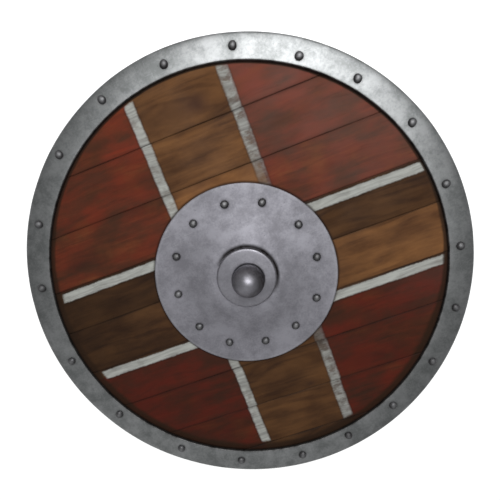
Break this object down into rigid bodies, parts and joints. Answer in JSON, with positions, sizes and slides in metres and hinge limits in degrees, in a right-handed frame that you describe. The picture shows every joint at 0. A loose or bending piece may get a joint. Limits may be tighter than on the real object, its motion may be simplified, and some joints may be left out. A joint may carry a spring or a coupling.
{
  "type": "wooden round shield",
  "caption": "Round plank shield with a riveted steel rim, a low domed boss over the hand hole and a wooden grip across the back.",
  "frame": {"origin": "on the surface that the battens lie on, straight below the centre of the round board", "axes": "+Z out of the painted face, +X along the planks, +Y along the hand grip"},
  "size_m": [0.61, 0.61, 0.082],
  "materials": {
    "painted_planks": "worn matt paint, red and white on brown wood",
    "rim_steel": "dull brushed steel",
    "boss_steel": "dull mottled steel",
    "rivet_iron": "dark worn iron",
    "bare_wood": "plain oiled wood"
  },
  "bodies": {
    "root": {"plank_1": "painted_planks", "plank_2": "painted_planks", "plank_3": "painted_planks", "plank_4": "painted_planks", "plank_5": "painted_planks", "plank_6": "painted_planks", "plank_7": "painted_planks", "plank_8": "painted_planks", "plank_9": "painted_planks", "rim": "rim_steel", "rim_rivet_01": "rivet_iron", "rim_rivet_02": "rivet_iron", "rim_rivet_03": "rivet_iron", "rim_rivet_04": "rivet_iron", "rim_rivet_05": "rivet_iron", "rim_rivet_06": "rivet_iron", "rim_rivet_07": "rivet_iron", "rim_rivet_08": "rivet_iron", "rim_rivet_09": "rivet_iron", "rim_rivet_10": "rivet_iron", "rim_rivet_11": "rivet_iron", "rim_rivet_12": "rivet_iron", "rim_rivet_13": "rivet_iron", "rim_rivet_14": "rivet_iron", "rim_rivet_15": "rivet_iron", "rim_rivet_16": "rivet_iron", "rim_rivet_17": "rivet_iron", "rim_rivet_18": "rivet_iron", "rim_rivet_19": "rivet_iron", "rim_rivet_20": "rivet_iron", "boss": "boss_steel", "knob": "boss_steel", "boss_rivet_01": "rivet_iron", "boss_rivet_02": "rivet_iron", "boss_rivet_03": "rivet_iron", "boss_rivet_04": "rivet_iron", "boss_rivet_05": "rivet_iron", "boss_rivet_06": "rivet_iron", "boss_rivet_07": "rivet_iron", "boss_rivet_08": "rivet_iron", "boss_rivet_09": "rivet_iron", "boss_rivet_10": "rivet_iron", "boss_rivet_11": "rivet_iron", "boss_rivet_12": "rivet_iron", "grip": "bare_wood", "batten_left": "bare_wood", "batten_right": "bare_wood"}
  },
  "joints": []
}
